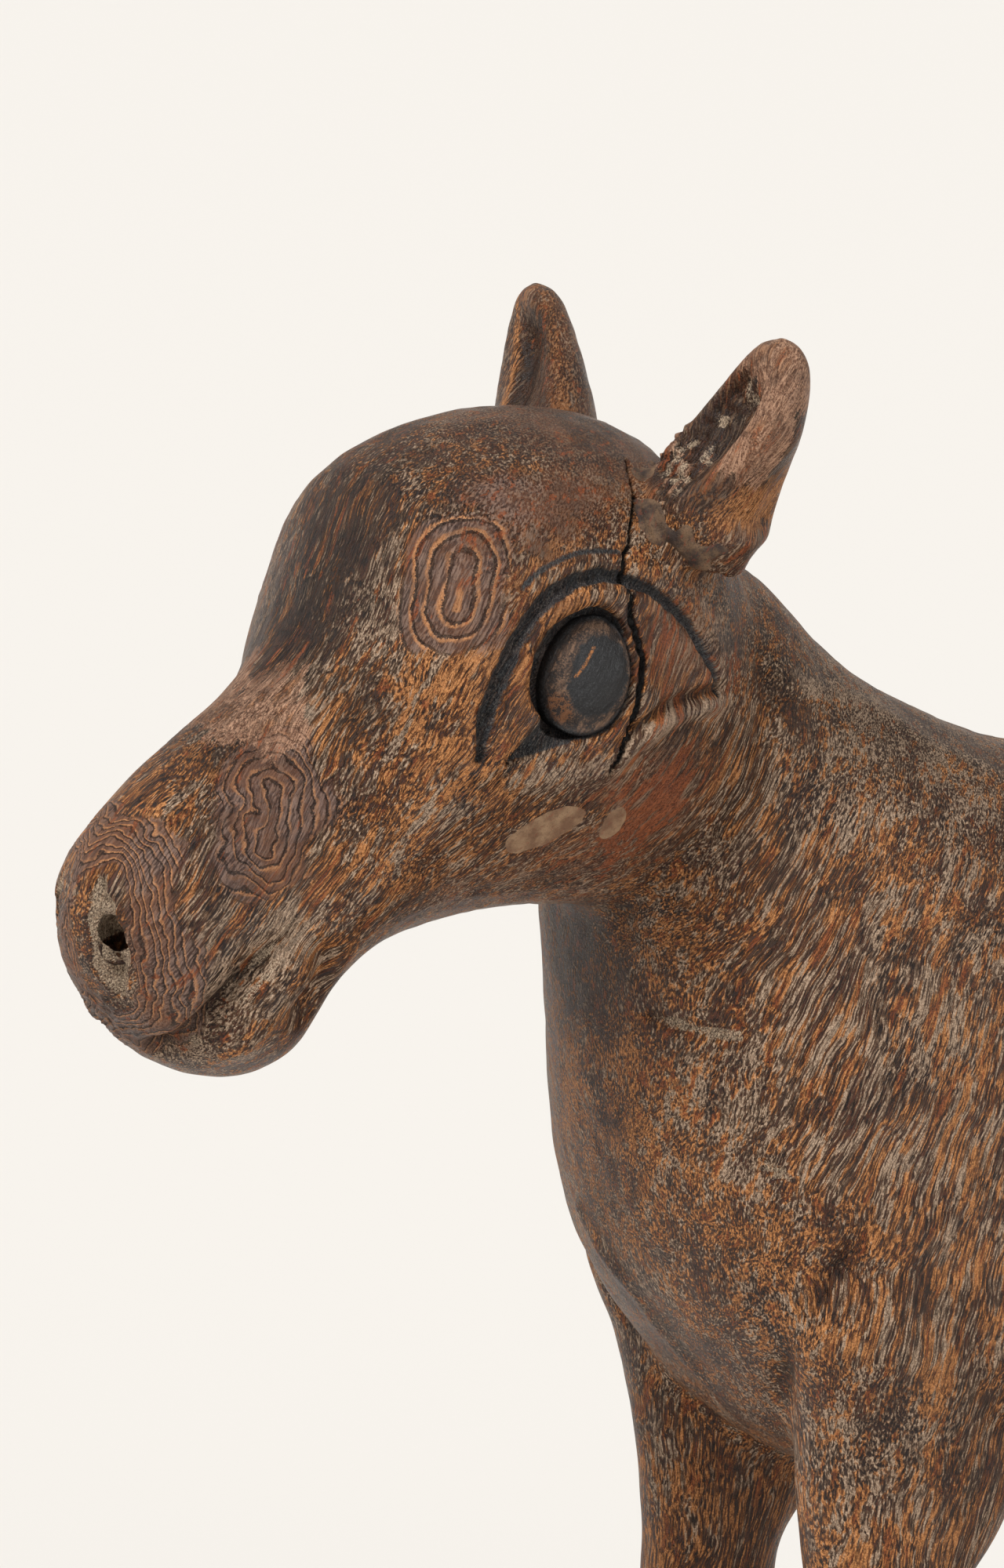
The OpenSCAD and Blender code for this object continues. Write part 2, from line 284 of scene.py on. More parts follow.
# Lines seen from the side on the whole muzzle, as Y and Z from the eye.
MOUTH = [(-79, -71.5), (-73, -67), (-70, -62), (-62.5, -53), (-55, -46.5)]
JAW_CREASE = [(-50, -62), (-47.5, -57), (-47, -52)]
NOSTRIL = np.array([10, EYE[1] - 86, EYE[2] - 47.5])

# Lines in space, as X from the middle, and Y and Z from the eye.
NECK_CREASE = [(37, 38.5, 17.5), (33, 43, 6), (30, 46.5, -8), (33, 39, -23), (27, 27.5, -41), (14, 23.5, -52)]
CHEST_GOUGE = [(17, 24.5, -71), (26, 29, -73), (36, 35.5, -74)]
SHOULDER_GOUGE = [(38, 38, -97.5), (40.5, 40, -99.5), (43, 42.5, -101)]
LEG_CREASE = [(50, 62, -100), (46, 50.5, -122.5), (38, 49, -134), (27, 50, -150)]
CHEST_KEEL = [(-16, 31.5, -119.5), (-5, 35.5, -132.5), (1, 46.5, -148.5), (8, 62, -158)]
BACK_RIDGE = [(29, 50.5, -7.5), (20, 73.5, -15.5), (24, 89.5, -25.5), (28, 118, -36)]

# Nested growth rings that the blade laid open round a short line in space: the line, the spacing,
# where they start and stop, how bright their edges are (worn wood with a painted highlight), and how far they
# wander.
FIGURES = [
    ([(31.5, -22, 21.5), (33, -23.5, 17.5), (34.5, -25, 13.5)], 2.9, (0, 11.5), 1.0, 1.0),
    ([(7.5, -87, -39), (9, -86.5, -47.5), (9.5, -84.5, -56)], 1.45, (6, 20), 0.75, 1.9),
    ([(17, -55.5, -19.5), (20.5, -56, -24), (20.5, -59.5, -30.5)], 1.9, (0, 11), 0.6, 2.0),
]

# Where the stain has worn, and where shade is painted: X from the middle, Y and Z from the eye, reach and
# amount of each spot.
WEAR = {
    "orange": [
        (42, -13, 3, 8, 1.0), (41, -6, 13, 6, 0.8), (38, -25, 0, 9, 0.5), (39, -22, -17, 9, 0.55),
        (3, -78, -26, 14, 0.5), (0, -87, -36, 10, 0.5), (15, -48, -8, 9, 0.6), (5, -64, -14, 9, 0.5),
        (13, 25, -88, 16, 0.35), (25, 27, -100, 20, 0.3), (24, 27, -54, 14, 0.3),
        (53, 80, -92, 30, 0.3), (43, 50, -126, 20, 0.45), (41, 70, -45, 16, 0.25),
        (30, -12, 31, 14, 0.4), (52, 110, -140, 36, 0.35), (54, 190, -60, 45, 0.25),
        (35, 280, -60, 30, 0.3), (0, 290, -20, 30, 0.3), (30, -30, -28, 14, 0.25), (32, 34, -7, 6, 0.4),
        (20, 58, -190, 30, 0.4), (36, -30, -4, 12, 0.4), (44, 70, -190, 22, 0.3), (0, 30, -100, 16, 0.3)
    ],
    "grey": [
        (22, -32, 12, 15, 0.6), (14, -44, -8, 12, 0.5), (48, 60, -75, 34, 0.3), (34, 35, -93, 15, 0.45),
        (34, 36, -36, 18, 0.15), (44, 60, -156, 26, 0.25), (25, 72, -18, 22, 0.35),
        (36, 28, 12, 12, 0.3), (0, 120, -30, 60, 0.3), (40, 150, -110, 50, 0.3),
        (12, -70, -66, 14, 0.4), (37, -20, 27, 13, 0.3), (19, -75, -36, 10, 0.35),
        (40, 200, -50, 60, 0.3)
    ],
    # Darker spots: those on the forehead, skull and muzzle are darker stain; those under the jaw, on the
    # throat, under the chest and on the belly are painted shade.
    "dark": [
        (4, -42, 8, 18, 0.9), (4, -30, 28, 18, 0.8), (6, -58, -12, 13, 0.8), (24, -40, -6, 9, 0.5),
        (14, 10, 40, 20, 0.5), (22, -66, -28, 9, 0.4), (0, 24, -60, 16, 0.6), (8, 22, -70, 14, 0.5),
        (0, 42, -140, 16, 0.25), (16, 70, -175, 26, 0.15), (0, 140, -190, 60, 0.3),
        (20, -66, -74, 10, 0.3)
    ],
    "smooth": [
        (18, 14, 40, 22, 0.9), (0, 14, 44, 26, 0.7), (34, -2, 32, 12, 0.5), (38, 18, -26, 15, 1.0),
        (40, 22, 4, 11, 0.8), (30, 6, -42, 16, 0.7), (26, -22, -42, 8, 0.6), (40, 34, 20, 12, 0.7),
        (0, 90, -28, 22, 0.5), (40, -21, 19, 15, 0.5), (36, 4, -20, 9, 0.5)
    ],
    "red": [
        (39, 17, -24, 11, 0.9), (33, 12, -36, 9, 0.8), (41, 18, 4, 9, 0.6), (29, -13, 31, 9, 0.15),
        (36, 34, -3, 6, 0.8), (30, 2, 34, 9, 0.2), (24, 32, -84, 9, 0.4), (38, 38, 17, 8, 0.6)
    ],
    "figure": [
        (27, -10, 31, 9, 0.9), (30, 2, 30, 8, 0.6), (20, -60, -30, 8, 0.5)
    ],
    "tan": [
        (4, -56, -9, 8, 1.0), (9, -48, -4, 7, 1.0), (14, -51, -11, 6, 0.9), (37, -6, -29, 10, 0.36)
    ],
}


# What each vertex carries besides its place: kinds of wear from 0 to 1, where dark also holds
# painted shade and grey also holds painted highlight on ridges, millimetres inside the paint's edge,
# millimetres to a crack, and for open growth rings how many of them lie inside (ring), how openly
# they show (figure) and how bright their edges are, as worn wood and painted highlight (line).
MARKS = ("orange", "grey", "dark", "smooth", "red", "tan", "raw", "paint", "crack", "ring", "figure", "line")


class Carving:
    """What the knife, the paint and time do to one skin, as values for each of its vertices."""

    def __init__(self, mesh):
        self.mesh = mesh
        self.co = coords(mesh)
        self.no = normals(mesh)
        n = len(self.co)
        self.lift = np.zeros(n)
        self.half = np.column_stack([np.abs(self.co[:, 0]), self.co[:, 1:] - EYE[1:]])
        self.side = self.co[:, 1:] - EYE_SIDE
        self.left = self.co[:, 0] > 0
        self.flank = ramp(self.half[:, 0], 17, 23)
        at_start = {"paint": -3.0, "crack": 3.0, "ring": 0.6}
        self.values = {name: np.full(n, at_start.get(name, 0.0)) for name in MARKS}

    def raise_by(self, amount):
        self.lift += amount

    def paint(self, inside):
        """Black paint. `inside` is how far inside the painted edge a vertex lies, in millimetres."""
        self.values["paint"] = np.maximum(self.values["paint"], np.clip(inside, -3, 3))

    def crack(self, far):
        self.values["crack"] = np.minimum(self.values["crack"], far)

    def mark(self, name, amount):
        self.values[name] = np.clip(self.values[name] + amount, -1, 1)

    def seen_from_side(self, points):
        """How far a curve on the flank is, and how far along it; far away on the rest of the skin."""
        far, share = nearest(curve(points), self.side)
        return np.where(self.flank > 0, far, NOT_HERE), share

    def in_space(self, points):
        """The same for a curve given by X, and Y and Z from the eye, on both sides of the animal."""
        return nearest(curve(points), self.half)

    def waver(self, size, seed):
        return hash_noise(self.co / size + seed * 7.3, seed)

    def finish(self):
        set_coords(self.mesh, self.co + self.no * self.lift[:, None])
        store(self.mesh, self.values, self.co)


def store(mesh, values, co):
    """Keeps named values, and where each point sits in the timber, as attributes of a mesh."""
    for name, value in values.items():
        mesh.attributes.new(name, "FLOAT", "POINT").data.foreach_set("value", value.astype(np.float32))
    layer = mesh.attributes.new("grain", "FLOAT_VECTOR", "POINT")
    layer.data.foreach_set("vector", grain_place(co).astype(np.float32).ravel())


def grain_place(co):
    """Where each point sits in the timber: twice across the grain, then along it.

    The grain leans back as it rises.
    """
    z = co[:, 2]
    height = np.array([0.0, 120, 200, 260, 300, 340, 400])
    lean = np.tan(np.radians([2, 4, 14, 34, 38, 30, 30]))
    drift = np.concatenate([[0], np.cumsum((lean[1:] + lean[:-1]) / 2 * np.diff(height))])
    wave = 1.6 * hash_noise(co / 22, 3) + 0.6 * hash_noise(co / 8, 4)
    across = co[:, 1] - np.interp(z, height, drift)
    return np.column_stack([co[:, 0] + wave, across + wave, z * 1.1])


def egg(side, half):
    """How far outside an egg outline each point lies, in millimetres, and the way to it from the middle."""
    c, s = math.cos(EYEBALL_TILT), math.sin(EYEBALL_TILT)
    across = side[:, 0] * c - side[:, 1] * s
    up = side[:, 0] * s + side[:, 1] * c
    width = half[0] * (1 - EYEBALL_TAPER * np.clip(up / half[1], -1, 1))
    return (np.hypot(across / width, up / half[1]) - 1) * 10, np.arctan2(up, across)


def carve_eyes(c):
    """Brow groove, socket, lids and the shrinkage crack through the left eye, with a painted highlight on the
    lower lid and cheek ridge and painted shade in the crease above the ridge.
    """
    far, share = c.seen_from_side(BROW)
    far = far + 0.35 * c.waver(1.9, 17)
    width = np.interp(share, [0, 0.12, 0.45, 0.7, 1], [0.9, 1.55, 1.35, 1.0, 0.6])
    c.raise_by(-1.5 * ramp(far, width + 0.3, width * 0.45))
    c.raise_by(0.55 * bell(far - width - 2.2, 1.9))
    c.paint(width - far + 0.1)
    far, share = c.seen_from_side(UPPER_BROW)
    c.raise_by(-0.45 * ramp(far, 1.8, 0.3))
    c.paint(0.5 - far)
    outside, turn = egg(c.side, SOCKET)
    outside = np.where(c.flank > 0, outside, NOT_HERE)
    room = 0.4 + 0.6 * ramp(np.cos(turn - math.radians(150)), -0.2, 0.9)
    c.raise_by(-2.4 * ramp(outside, room + 0.7, room - 1.1))
    c.raise_by(0.8 * bell(outside - room - 2.4, 2.2) * ramp(np.sin(turn), -0.5, 0.4))
    c.paint(room - outside - 0.1)
    far, share = c.seen_from_side(TEAR_CORNER)
    width = np.interp(share, [0, 1], [4.6, 0.3])
    c.raise_by(-1.7 * ramp(far, width + 0.5, width * 0.3))
    c.paint(width - far)
    behind = np.hypot((c.side[:, 0] - 20) / 11, (c.side[:, 1] - 2) / 12)
    c.raise_by(-0.9 * ramp(behind, 1.1, 0.5) * c.flank)
    far, share = c.seen_from_side(LOWER_LID)
    c.raise_by(0.6 * bell(far, 2.4))
    # Paler along the lower lid: painted highlight.
    c.mark("grey", 0.5 * ramp(far, 4.5, 1))
    far, share = c.seen_from_side(CHEEK_RIDGE)
    fade = ramp(share, 0, 0.12) * ramp(share, 1, 0.8)
    c.raise_by(1.4 * bell(far, 1.6) * fade)
    # Paler along the cheek ridge: painted highlight.
    c.mark("grey", 0.9 * ramp(far, 2.6, 0.8) * fade)
    far, share = c.seen_from_side([(y - 0.6, z + 2.9) for y, z in CHEEK_RIDGE[1:]])
    c.raise_by(-1.2 * ramp(far, 1.7, 0.2) * ramp(share, 1, 0.8))
    # Darker in the crease above the ridge: painted shade.
    c.mark("dark", 0.5 * ramp(far, 1.2, 0.2) * ramp(share, 1, 0.8))
    run = curve(EYE_CRACK, 12)
    doubled = np.column_stack([run] * 2)[:, :3]
    run[1:-1] += 0.40 * np.column_stack([hash_noise(doubled * 0.9, k) for k in (5, 6)])[1:-1]
    far, share = nearest(run, c.side)
    far = np.where((c.flank > 0) & c.left, far, NOT_HERE)
    gape = np.interp(share, [0, 0.2, 0.45, 0.8, 1], [0.05, 0.2, 0.42, 0.5, 0.15])
    c.raise_by(-1.8 * ramp(far, gape + 0.5, gape * 0.2))
    c.crack(np.clip(far - gape + 0.35, 0, 3))


def carve_muzzle(c):
    """Nostrils, mouth and chin, with painted shade in the nostril holes and along the mouth."""
    along = np.array([0.8, 0.6, 0])
    off = np.column_stack([np.abs(c.co[:, 0]), c.co[:, 1:]]) - NOSTRIL
    front = off[:, 1] < 12
    ragged = 0.20 * c.waver(2.2, 11) + 0.14 * c.waver(5, 12)
    lean = off @ along + 0.16 * off[:, 2]
    round_it = np.where(front, np.hypot(lean / 4.4, off[:, 2] / 10.5) + ragged, 9)
    c.raise_by(-1.3 * ramp(round_it, 1.08, 0.80) - 0.6 * c.waver(1.8, 13) * ramp(round_it, 1.0, 0.7))
    c.mark("raw", ramp(round_it, 1.10, 0.85))
    scoop = np.where(front, np.hypot((lean - 0.6) / 3.0, (off[:, 2] + 4.5) / 4.6), 9)
    c.raise_by(-1.5 * ramp(scoop, 1.1, 0.2))
    hole = np.where(front, np.hypot((lean - 1.6) / 2.8, (off[:, 2] + 0.1) / 1.5), 9)
    c.raise_by(-2.6 * ramp(hole, 1.2, 0.4))
    # Darker in the drilled hole: painted shade.
    c.mark("dark", ramp(hole, 1.2, 0.7))
    c.mark("raw", -ramp(hole, 1.2, 0.8))
    far, share = nearest(curve(MOUTH), c.half[:, 1:])
    outer = ramp(c.half[:, 0], 4, 9)
    open_it = np.interp(share, [0, 0.35, 0.75, 1], [1.6, 2.5, 1.9, 0.5]) * outer
    c.raise_by(-1.7 * open_it * bell(far, 2.7))
    # Darker along the mouth's valley: painted shade.
    c.mark("dark", ramp(far, 2.0, 0.6) * outer * ramp(share, 1, 0.8))
    c.mark("grey", 0.6 * ramp(far, 8, 2) * outer)
    x, y, z = c.half.T
    strands = 0.5 + 0.5 * hash_noise(np.column_stack([x / 3, (y - z) / 1.5, (y + z) / 11]), 16)
    c.raise_by(0.5 * (strands - 0.5) * ramp(far, 7, 2) * outer)
    c.mark("raw", 0.75 * ramp(far, 6, 2.5) * ramp(strands, 0.5, 0.8) * outer * ramp(share, 0.1, 0.35))
    below, share = nearest(curve([(y + 7, z - 4.4) for y, z in MOUTH[1:]]), c.half[:, 1:])
    c.raise_by(1.8 * bell(below, 3.2) * ramp(share, 1, 0.75) * ramp(share, -0.2, 0.4))
    jaw = np.hypot(c.half[:, 1] + 61, c.half[:, 2] + 67)
    c.raise_by(1.6 * bell(jaw, 6.5))
    above = nearest(curve([(y - 1.5, z + 5) for y, z in MOUTH[:-2]]), c.half[:, 1:])[0]
    c.raise_by(0.8 * bell(above, 3.0) * outer)
    crease = nearest(curve(JAW_CREASE), c.half[:, 1:])[0]
    c.raise_by(-3.0 * bell(crease, 3.0))
    lip = ramp(np.hypot(c.half[:, 1] + 84, c.half[:, 2] + 66), 13, 4) * ramp(c.half[:, 0], 16, 6)
    c.raise_by(-1.1 * np.abs(c.waver(2.6, 15)) * lip)
    c.mark("dark", 0.5 * lip)


def carve_figures(c):
    """Growth rings laid open on the flanks stand out as low terraces."""
    for k, (line, spacing, (start, stop), bright, wander) in enumerate(FIGURES):
        ring = c.in_space(line)[0]
        ring = ring + wander * (0.9 * c.waver(6, 30 + k) + 0.42 * c.waver(2.4, 40 + k)
                                + 0.20 * c.waver(1.2, 50 + k))
        edge = ring + 3.0 * c.waver(7, 60 + k)
        here = ramp(edge, stop + 1, stop - 4) * (ramp(ring, start - 1, start + 2) if start else 1)
        most = here > c.values["figure"]
        c.values["ring"] = np.where(most, ring / spacing, c.values["ring"])
        broken = ramp(c.waver(5, 70 + k), -0.75, -0.15)
        c.values["line"] = np.where(most, bright * broken, c.values["line"])
        c.values["figure"] = np.maximum(c.values["figure"], here)
    step = c.values["ring"] % 1
    c.raise_by(0.26 * c.values["figure"] * (ramp(step, 0, 0.2) - step))


def carve_neck_and_chest(c):
    """Creases behind the cheek and above the leg, two fresh gouges, and the ridges of back and chest; the
    creases are darkened with painted shade, and the back ridge is made paler as a painted highlight.
    """
    far, share = c.in_space(NECK_CREASE)
    c.raise_by(-1.3 * bell(far, 3.6))
    # Darker in the crease: painted shade.
    c.mark("dark", 0.3 * ramp(far, 4, 1))
    for gouge in (CHEST_GOUGE, SHOULDER_GOUGE):
        far, share = c.in_space(gouge)
        far = np.where(c.left, far, NOT_HERE)
        c.raise_by(-1.0 * ramp(far, 1.9, 0.4) * ramp(share, 0, 0.3) * ramp(share, 1, 0.85))
        c.mark("raw", 0.7 * ramp(far, 1.5, 0.7) * ramp(share, 0, 0.5))
    far, share = c.in_space(LEG_CREASE)
    c.raise_by(-1.7 * ramp(share, 0, 0.25) * bell(far, 2.6))
    # Darker along the crease: painted shade.
    c.mark("dark", 0.6 * ramp(far, 3, 0.5) * ramp(share, 0, 0.25))
    far, share = c.in_space(BACK_RIDGE)
    c.raise_by(0.8 * bell(far, 3.4) * ramp(share, 1, 0.7))
    # Paler along the ridge: painted highlight.
    c.mark("grey", 0.5 * ramp(far, 3, 1) * ramp(share, 1, 0.7))
    far, share = nearest(curve(CHEST_KEEL), np.column_stack([c.co[:, 0], c.half[:, 1:]]))
    c.raise_by(0.9 * bell(far, 2.6))


def weather(c):
    """Tool marks and grain relief all over, and the map of where the stain has worn and where shade is
    painted underneath.
    """
    c.raise_by(0.40 * c.waver(17, 21) + 0.16 * c.waver(6, 22))
    grain = grain_place(c.co)
    c.raise_by(0.13 * hash_noise(grain / np.array([2.6, 2.6, 16]), 23))
    uneven = 1 + 0.30 * c.waver(6, 24) + 0.22 * c.waver(2.6, 25)
    for kind, spots in WEAR.items():
        for *place, reach, amount in spots:
            off = np.linalg.norm(c.half - np.array(place), axis=1) * uneven / reach
            c.mark(kind, amount * np.exp(-off ** 2 * 1.4))


def soften_near(mesh, point, normal, reach, rounds):
    """Runs two blocks into each other by softening the skin within reach of the plane where they meet."""
    share = 0.6 * ramp(np.abs((coords(mesh) - point) @ normal), reach, reach * 0.2)[:, None]
    blend(mesh, [share] * rounds)


def meet(mesh, surface, point, normal, reach):
    """Lays the skin on another surface near a plane, so that the two skins meet there without a step."""
    co = coords(mesh)
    away = np.abs((co - point) @ normal)
    for i in np.nonzero(away < reach)[0]:
        found = Vector(surface.find_nearest(Vector(co[i]))[0])
        co[i] += (np.array(found) - co[i]) * ramp(away[i], reach, reach * 0.4)
    set_coords(mesh, co)


# ---------- the bare skins ----------

HEAD_VOXEL, BODY_VOXEL, TAIL_VOXEL = 1.25, 2.4, 1.0    # cell sizes of the skins before they are refined
NECK_OVERLAP = 12                                      # how far head and body skins run past the seam

solid = [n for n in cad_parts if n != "tail"]
neck_normal = np.cross([1, 0, 0], NAPE - THROAT)
neck_normal = neck_normal / np.linalg.norm(neck_normal) * np.sign(neck_normal[1])     # points back
head_skin = skin_of(solid, HEAD_VOXEL, 12, (NAPE + neck_normal * NECK_OVERLAP, neck_normal))
body_skin = skin_of(solid, BODY_VOXEL, 5, (NAPE - neck_normal * NECK_OVERLAP, -neck_normal))
tail_skin = skin_of(["tail"], TAIL_VOXEL, 4)
soften_near(head_skin, NAPE, neck_normal, 13, 90)
head_before = BVHTree.FromPolygons([Vector(v) for v in coords(head_skin)],
                                   [p.vertices for p in head_skin.polygons])
meet(body_skin, head_before, NAPE, neck_normal, 11)

# ---------- materials ----------


def srgb(red, green, blue):
    """A colour given as it looks on a screen, 0 to 255, in Blender's linear values."""
    parts = (red / 255, green / 255, blue / 255)
    return tuple(c / 12.92 if c <= 0.04045 else ((c + 0.055) / 1.055) ** 2.4 for c in parts)


class Graph:
    """A material's node tree, built by short calls that return sockets."""

    def __init__(self, name):
        self.material = bpy.data.materials.new(name)
        self.material.use_nodes = True
        self.tree = self.material.node_tree
        self.shader = self.tree.nodes["Principled BSDF"]

    def put(self, socket, value):
        if isinstance(value, bpy.types.NodeSocket):
            self.tree.links.new(value, socket)
        elif isinstance(value, tuple) and len(value) == 3 and socket.type == "RGBA":
            socket.default_value = (*value, 1)
        else:
            socket.default_value = value

    def node(self, kind, **inputs):
        node = self.tree.nodes.new(kind)
        for name, value in inputs.items():
            self.put(node.inputs[name.replace("_", " ")], value)
        return node

    def value(self, name):
        node = self.tree.nodes.new("ShaderNodeAttribute")
        node.attribute_name = name
        return node.outputs["Fac"]

    def vector(self, name):
        node = self.tree.nodes.new("ShaderNodeAttribute")
        node.attribute_name = name
        return node.outputs["Vector"]

    def math(self, operation, a, b=0.0, third=0.0):
        node = self.tree.nodes.new("ShaderNodeMath")
        node.operation = operation
        for socket, value in zip(node.inputs, (a, b, third)):
            self.put(socket, value)
        return node.outputs[0]

    def times(self, a, b):
        return self.math("MULTIPLY", a, b)

    def add(self, extra, share, base):
        """base plus a share of extra."""
        return self.math("MULTIPLY_ADD", extra, share, base)

    def from_half(self, noise):
        """Noise about 0 instead of about a half."""
        return self.math("SUBTRACT", noise, 0.5)

    def vary(self, noise, share, base):
        """base made uneven by a share of the noise, without a change of its mean."""
        return self.add(self.from_half(noise), share, base)

    def vmath(self, operation, a, b):
        node = self.tree.nodes.new("ShaderNodeVectorMath")
        node.operation = operation
        self.put(node.inputs[0], a)
        self.put(node.inputs[1], b)
        return node.outputs[0]

    def ramp(self, value, start, end, low=0.0, high=1.0):
        node = self.tree.nodes.new("ShaderNodeMapRange")
        node.interpolation_type = "SMOOTHSTEP"
        ends = {"Value": value, "From Min": start, "From Max": end, "To Min": low, "To Max": high}
        for name, v in ends.items():
            self.put(node.inputs[name], v)
        return node.outputs[0]

    def noise(self, vector, scale=1.0, detail=2.0, rough=0.5, colour=False):
        node = self.node("ShaderNodeTexNoise", Vector=vector, Scale=scale, Detail=detail, Roughness=rough)
        return node.outputs["Color" if colour else "Fac"]

    def place(self):
        """Where each point of the piece is, in millimetres."""
        return self.vmath("MULTIPLY", self.node("ShaderNodeTexCoord").outputs["Object"], (1 / MM,) * 3)

    def mix(self, share, a, b):
        node = self.tree.nodes.new("ShaderNodeMix")
        node.data_type = "RGBA"
        self.put(node.inputs[0], share)
        self.put(node.inputs[6], a)
        self.put(node.inputs[7], b)
        return node.outputs[2]

    def shade(self, colour, share):
        """A colour made lighter or darker by a factor."""
        node = self.tree.nodes.new("ShaderNodeVectorMath")
        node.operation = "SCALE"
        self.put(node.inputs[0], colour)
        self.put(node.inputs["Scale"], share)
        return node.outputs[0]

    def bump(self, height, depth):
        """Relief of `height` times `depth` millimetres."""
        node = self.node("ShaderNodeBump", Height=height, Strength=1.0, Distance=depth * MM)
        self.put(self.shader.inputs["Normal"], node.outputs[0])


STAIN_DARK = srgb(46, 32, 28)
RUBBED_RED = srgb(128, 58, 30)
BLACK_PAINT = srgb(34, 37, 42)
RAW_WOOD = srgb(208, 184, 156)


def stained_wood(name):
    """Dark stain worn through to orange wood and grey fibres, in marks drawn out along the grain, with
    painted shade where the mark dark calls for it, painted shadow and highlight on the steps of open rings,
    and a painted sheen on rubbed parts.
    """
    g = Graph(name)
    mm = g.place()
    value = {k: g.value(k) for k in MARKS}
    fine = g.noise(mm, 2.6, 4, 0.72)
    grit = g.noise(mm, 7.5, 2, 0.6)
    blotch = g.noise(mm, 0.075, 3, 0.6)
    blotch_two = g.noise(g.vmath("ADD", mm, (300.0, 70.0, 20.0)), 0.085, 3, 0.62)
    sway = g.vmath("SUBTRACT", g.noise(mm, 0.10, 2, 0.5, colour=True), (0.5,) * 3)
    jitter = g.vmath("SUBTRACT", g.noise(mm, 1.1, 2, 0.6, colour=True), (0.5,) * 3)
    drawn = g.vmath("ADD", g.vector("grain"), g.vmath("MULTIPLY", sway, (2.4, 2.4, 0.0)))
    drawn = g.vmath("ADD", drawn, g.vmath("MULTIPLY", jitter, (0.32, 0.32, 1.0)))

    def streaks(across, along, detail, rough, shift=0.0):
        stretched = g.vmath("MULTIPLY", drawn, (across, across, along))
        return g.noise(g.vmath("ADD", stretched, (shift, shift, shift)), 1.0, detail, rough)

    long_marks = streaks(2.3, 0.13, 2, 0.5)
    short_marks = streaks(2.3, 0.42, 2, 0.5)
    hue_marks = streaks(0.55, 0.060, 3, 0.6, 40.0)
    broad = streaks(0.24, 0.030, 2, 0.5, 80.0)
    furrows = g.math("ABSOLUTE", g.from_half(streaks(1.25, 0.090, 2, 0.6, 120.0)))
    shortness = g.ramp(g.noise(mm, 0.05, 2, 0.5), 0.51, 0.64)
    marks = g.add(g.math("SUBTRACT", short_marks, long_marks), shortness, long_marks)
    marks = g.vary(fine, 0.14, marks)

    # How far the stain is worn here, and which of the two colours lies bare.
    worn = g.add(value["orange"], 0.36, 0.40)
    worn = g.add(value["grey"], 0.34, worn)
    worn = g.add(value["dark"], -0.28, worn)
    worn = g.vary(blotch, 1.2, worn)
    worn = g.vary(broad, 1.3, worn)
    edge = g.math("ADD", marks, g.times(worn, 0.24))
    hue = g.times(g.math("SUBTRACT", value["orange"], value["grey"]), 0.30)
    hue = g.vary(blotch_two, 0.5, hue)
    hue = g.vary(hue_marks, 1.7, hue)
    orangeness = g.ramp(hue, -0.07, 0.05)

    zone = g.ramp(g.add(broad, 0.7, blotch_two), 0.70, 1.0)
    stain = g.mix(g.ramp(short_marks, 0.38, 0.62), srgb(30, 15, 9), srgb(78, 41, 24))
    stain = g.mix(g.times(zone, 0.6), stain, srgb(68, 48, 35))
    brown = g.mix(orangeness, srgb(100, 73, 52), srgb(112, 66, 32))
    bare_orange = g.mix(g.ramp(fine, 0.32, 0.68), srgb(146, 88, 40), srgb(218, 152, 94))
    bare_grey = g.mix(g.ramp(fine, 0.32, 0.68), srgb(128, 102, 80), srgb(204, 176, 150))
    colour = g.mix(g.ramp(edge, 0.52, 0.60), stain, brown)
    light = g.ramp(edge, 0.59, 0.70)
    colour = g.mix(g.times(light, 0.9), colour, g.mix(orangeness, bare_grey, bare_orange))

    # Open growth rings: dark plates with a thin line round each, worn wood that doubles as a painted
    # highlight on the edge of each step, and painted shadow in the groove at the foot of each step.
    step = g.math("FRACT", g.vary(fine, 0.55, value["ring"]))
    # The line along the top edge of each step: worn wood and painted highlight.
    line = g.times(g.ramp(step, 0.30, 0.16), g.ramp(step, 0.0, 0.06))
    line = g.times(line, g.times(value["line"], g.ramp(hue_marks, 0.36, 0.50, 0.4, 1.0)))
    # The groove at the foot of each step, sunk in the relief and darkened in colour as painted shadow.
    groove = g.times(g.ramp(step, 0.78, 0.90), g.ramp(step, 1.0, 0.96))
    plate = g.mix(g.ramp(long_marks, 0.38, 0.62), srgb(64, 44, 37), srgb(126, 101, 90))
    plate = g.mix(g.ramp(g.add(fine, 0.5, blotch_two), 0.66, 0.86, 0.0, 0.7), plate, srgb(104, 64, 40))
    # Painted shadow in the groove.
    plate = g.mix(g.times(groove, 0.8), plate, srgb(30, 19, 15))
    plate = g.mix(line, plate, g.mix(g.ramp(fine, 0.3, 0.7), srgb(156, 98, 56), srgb(216, 156, 106)))
    open_ring = g.ramp(g.vary(marks, 1.6, value["figure"]), 0.25, 0.75)
    colour = g.mix(g.times(open_ring, 0.9), colour, plate)

    # Rubbed smooth: a warm brown film with a pale haze that is painted sheen, and red where it is polished.
    thin = g.ramp(g.add(g.math("ADD", fine, short_marks), 0.6, blotch), 0.92, 1.28)
    film_and_sheen = g.mix(thin, srgb(42, 22, 14), srgb(112, 66, 37))
    # Pale haze mixed into the film: painted sheen.
    film_and_sheen = g.mix(g.ramp(g.add(fine, 0.4, long_marks), 0.68, 0.86, 0.0, 0.6), film_and_sheen, srgb(150, 124, 100))
    film_and_sheen = g.mix(g.ramp(g.add(grit, 0.5, blotch_two), 0.72, 0.92, 0.0, 0.7), film_and_sheen, srgb(38, 25, 20))
    colour = g.mix(g.times(value["smooth"], g.ramp(fine, 0.30, 0.60, 0.45, 0.92)), colour, film_and_sheen)
